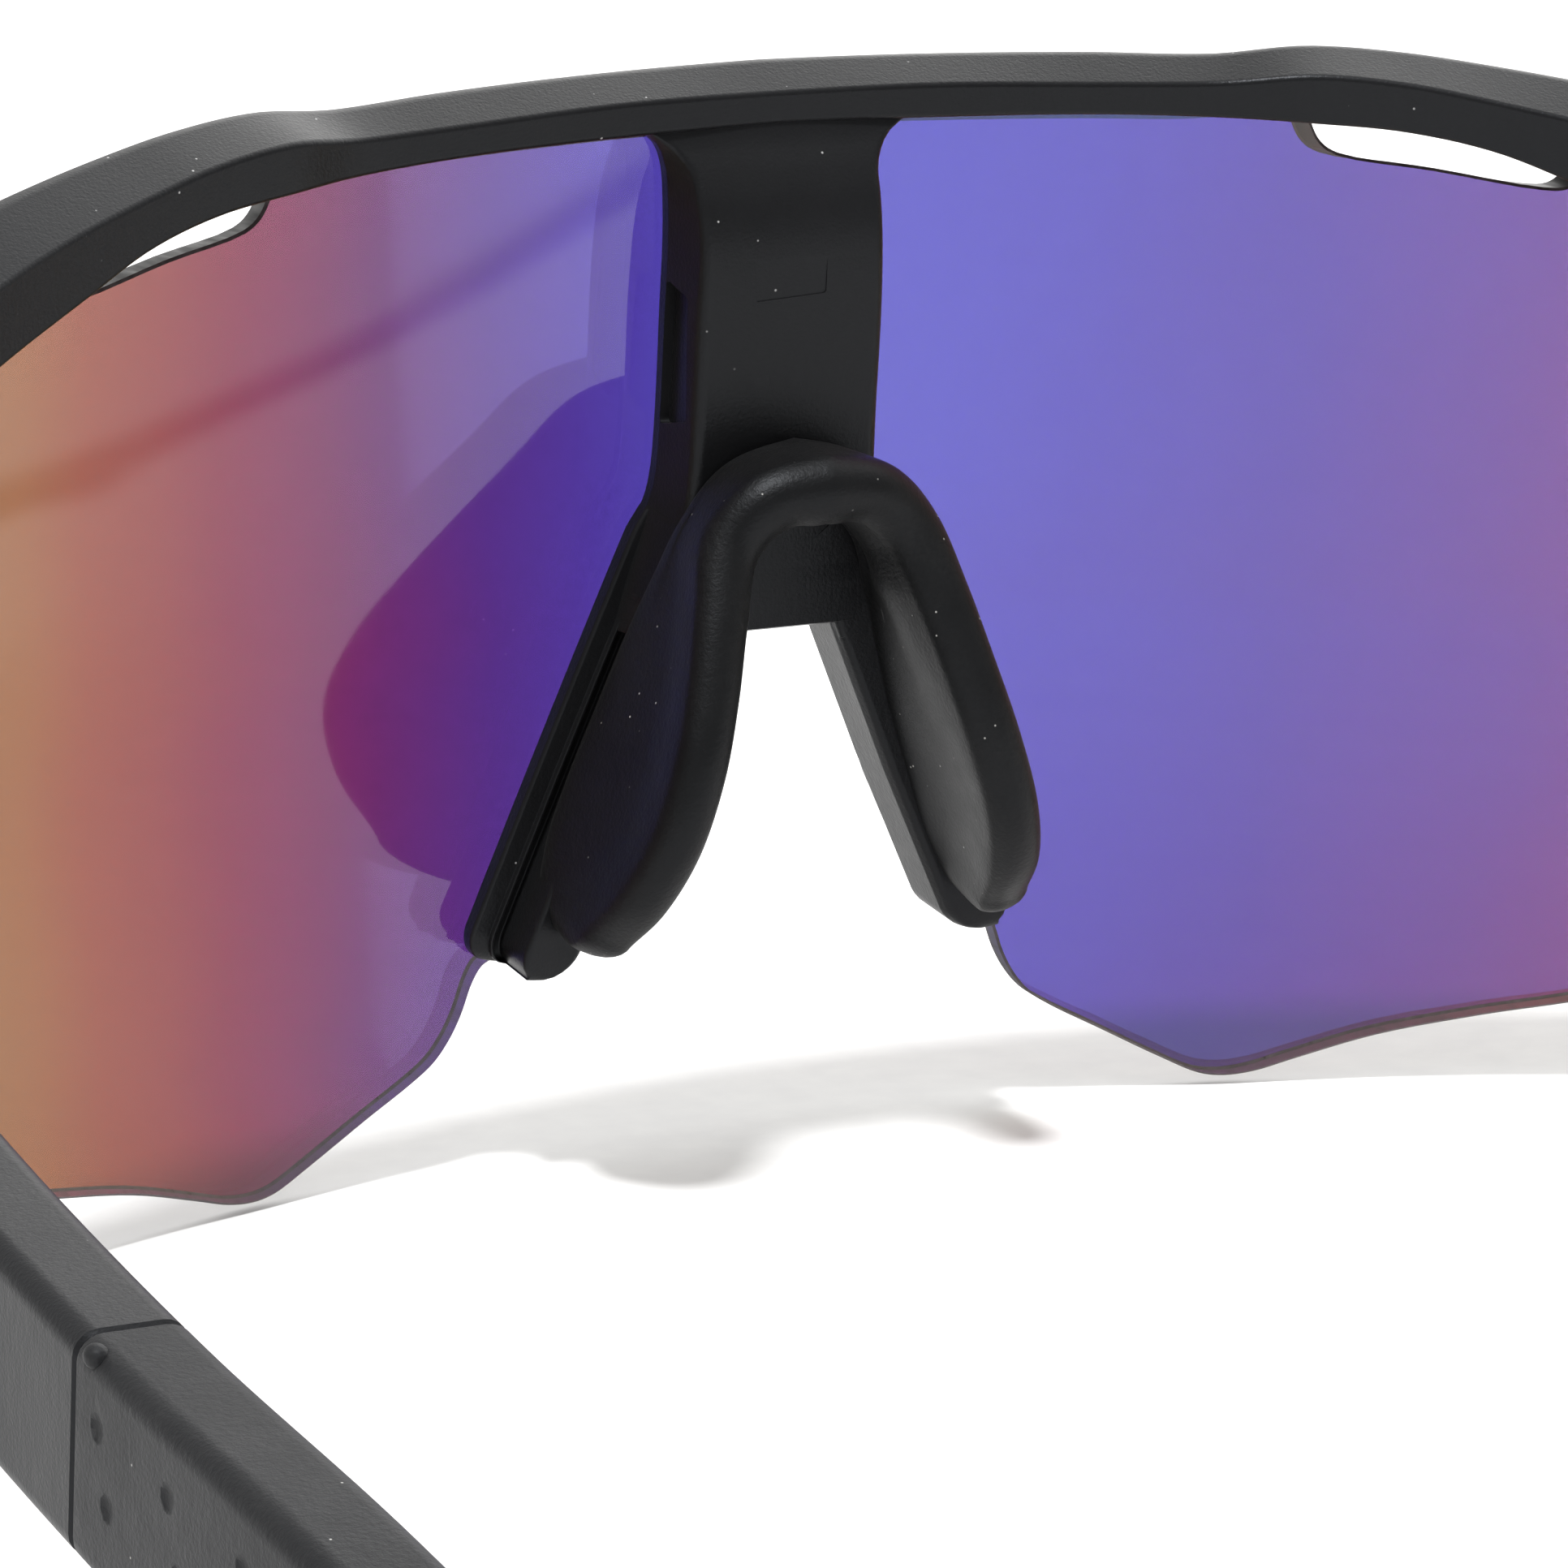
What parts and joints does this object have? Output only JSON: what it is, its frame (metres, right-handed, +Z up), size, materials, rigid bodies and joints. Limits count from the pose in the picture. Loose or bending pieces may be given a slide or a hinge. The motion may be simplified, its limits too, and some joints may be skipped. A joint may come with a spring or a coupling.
{
  "type": "wraparound sport sunglasses",
  "caption": "Wraparound shield sunglasses: one-piece mirrored lens under a half-rim brow bar with nose column, soft saddle nose pad and folding temples with rubber ear socks.",
  "frame": {"origin": "centre of the footprint on the table, with the glasses standing open on their two lens points and ear tips", "axes": "+Y to the back of the wearer's head, +X to the wearer's left, +Z up; the lens faces -Y and leans back by 6.4 degrees"},
  "size_m": [0.1404, 0.1643, 0.0508],
  "materials": {
    "frame_plastic": "matte black moulded nylon with a fine texture",
    "lens_mirror": "polycarbonate with a blue to violet to red interference mirror",
    "pad_rubber": "soft matte black elastomer",
    "temple_plastic": "matte black moulded nylon",
    "sock_rubber": "matte black rubber with small dimples",
    "screw_steel": "turned stainless steel",
    "insert_brass": "turned brass"
  },
  "bodies": {
    "frame": {"front_frame": "frame_plastic", "shield_lens": "lens_mirror", "nose_pad": "pad_rubber", "hinge_screw_left": "screw_steel", "hinge_screw_right": "screw_steel", "hinge_insert_left": "insert_brass", "hinge_insert_right": "insert_brass"},
    "temple_left": {"temple_left": "temple_plastic", "ear_sock_left": "sock_rubber"},
    "temple_right": {"temple_right": "temple_plastic", "ear_sock_right": "sock_rubber"}
  },
  "joints": [
    {"name": "left_temple_fold", "type": "hinge", "parent": "frame", "child": "temple_left", "pos_m": [0.0646, -0.03184, 0.03092], "axis": [0, 0.1115, 0.9938], "range_deg": [0, 94]},
    {"name": "right_temple_fold", "type": "hinge", "parent": "frame", "child": "temple_right", "pos_m": [-0.0646, -0.03184, 0.03092], "axis": [0, -0.1115, -0.9938], "range_deg": [0, 82]}
  ]
}
